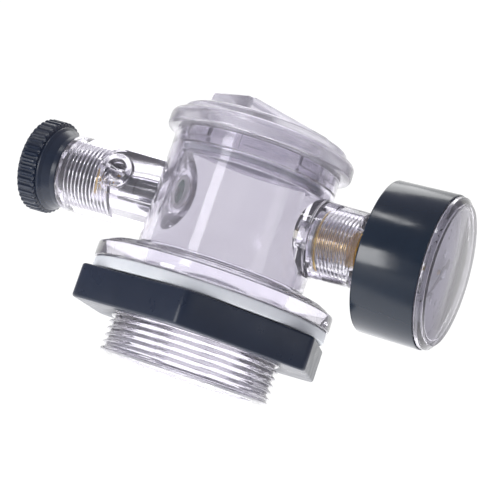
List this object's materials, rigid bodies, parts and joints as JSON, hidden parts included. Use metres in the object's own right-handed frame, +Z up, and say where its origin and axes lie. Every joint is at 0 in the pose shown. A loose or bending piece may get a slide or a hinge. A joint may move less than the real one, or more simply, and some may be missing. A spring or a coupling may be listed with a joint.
{
  "type": "carbon dioxide regulator",
  "caption": "Clear pressure relief head for a brewing vessel: twist-off lid, threaded stub with hexagon nut, knurled knob over a spring-loaded vent valve, and a round pressure gauge.",
  "frame": {"origin": "on the axis of the chamber, at the open end of the threaded stub", "axes": "+Z up the chamber's axis to the lid, +X along the side tubes to the gauge, and the vent boss faces -Y"},
  "size_m": [0.157, 0.0896, 0.095],
  "materials": {
    "clear_plastic": "gloss, clear with a faint lilac tint",
    "dark_plastic": "satin, dark slate blue",
    "grey_plastic": "satin",
    "white_rubber": "matte",
    "green_rubber": "matte",
    "white_nylon": "satin",
    "brass": "machined",
    "steel": "bright",
    "dial_white": "satin white",
    "black_paint": "satin black"
  },
  "bodies": {
    "fitting": {"bourdon_tube": "brass", "case_screw_1": "steel", "case_screw_2": "steel", "dial_screw_1": "steel", "dial_screw_2": "steel", "gauge_case": "dark_plastic", "gauge_dial": "dial_white", "gauge_lens": "clear_plastic", "gauge_stem": "brass", "hairspring": "steel", "movement_base_plate": "brass", "movement_pillar_1": "brass", "movement_pillar_2": "brass", "movement_screw_1": "steel", "movement_screw_2": "steel", "movement_top_plate": "brass", "restrictor_screw": "brass", "seat_ring": "white_nylon", "sector_shaft": "steel", "stem_seal": "white_rubber", "stop_pin": "steel", "valve_body": "clear_plastic"},
    "gasket": {"flange_gasket": "white_rubber"},
    "nut": {"lock_nut": "dark_plastic"},
    "lid": {"lid": "clear_plastic", "lid_o_ring": "white_rubber"},
    "spring_carrier": {"spring_seat": "brass", "valve_spring": "steel"},
    "knob": {"adjusting_knob": "dark_plastic"},
    "poppet": {"valve_piston": "grey_plastic", "poppet_seal": "green_rubber"},
    "pointer": {"gauge_pointer": "black_paint", "pinion_shaft": "brass"},
    "sector": {"sector_gear": "brass", "link_pin_lower": "steel"},
    "link": {"link": "brass"},
    "tip": {"tube_tip": "brass", "link_pin_upper": "steel"}
  },
  "joints": [
    {"name": "nut_drop", "type": "slide", "parent": "fitting", "child": "gasket", "axis": [0, 0, -1], "range_m": [0, 0.011]},
    {"name": "nut_turn", "type": "hinge", "parent": "gasket", "child": "nut", "pos_m": [0, 0, 0.01935], "axis": [0, 0, -1], "range_deg": [0, 1714]},
    {"name": "lid_turn", "type": "hinge", "parent": "fitting", "child": "lid", "pos_m": [0, 0, 0.0835], "axis": [0, 0, 1], "range_deg": [0, 22.5]},
    {"name": "knob_travel", "type": "slide", "parent": "fitting", "child": "spring_carrier", "axis": [-1, 0, 0], "range_m": [0, 0.0075], "deforming": ["valve_spring"]},
    {"name": "knob_turn", "type": "hinge", "parent": "spring_carrier", "child": "knob", "pos_m": [-0.076, 0, 0.058], "axis": [-1, 0, 0], "range_deg": [0, 1799]},
    {"name": "poppet_lift", "type": "slide", "parent": "fitting", "child": "poppet", "axis": [-1, 0, 0], "range_m": [0, 0.002], "stiffness_N_per_m": 300, "springref_m": -0.004, "deforming": ["valve_spring"]},
    {"name": "sector_turn", "type": "hinge", "parent": "fitting", "child": "sector", "pos_m": [0.0625, 0, 0.04585], "axis": [1, 0, 0], "range_deg": [0, 33.75]},
    {"name": "pointer_turn", "type": "hinge", "parent": "fitting", "child": "pointer", "pos_m": [0.0722, 0, 0.058], "axis": [-1, 0, 0], "range_deg": [0, 270], "deforming": ["hairspring"]},
    {"name": "link_swing", "type": "hinge", "parent": "sector", "child": "link", "pos_m": [0.0643, 0.00431, 0.04454], "axis": [1, 0, 0], "range_deg": [-40, 0]},
    {"name": "tip_swing", "type": "hinge", "parent": "fitting", "child": "tip", "pos_m": [0.0628, -0.006, 0.054], "axis": [1, 0, 0], "range_deg": [0, 5], "deforming": ["bourdon_tube"]}
  ],
  "couplings": [
    {"joint": "nut_drop", "follows": "nut_turn", "m_per_rad": 0.00036749},
    {"joint": "knob_travel", "follows": "knob_turn", "m_per_rad": 0.00023873},
    {"joint": "pointer_turn", "follows": "sector_turn", "ratio": 8},
    {"joint": "link_swing", "follows": "sector_turn", "ratio": -1.1571},
    {"joint": "tip_swing", "follows": "sector_turn", "ratio": 0.13563}
  ]
}
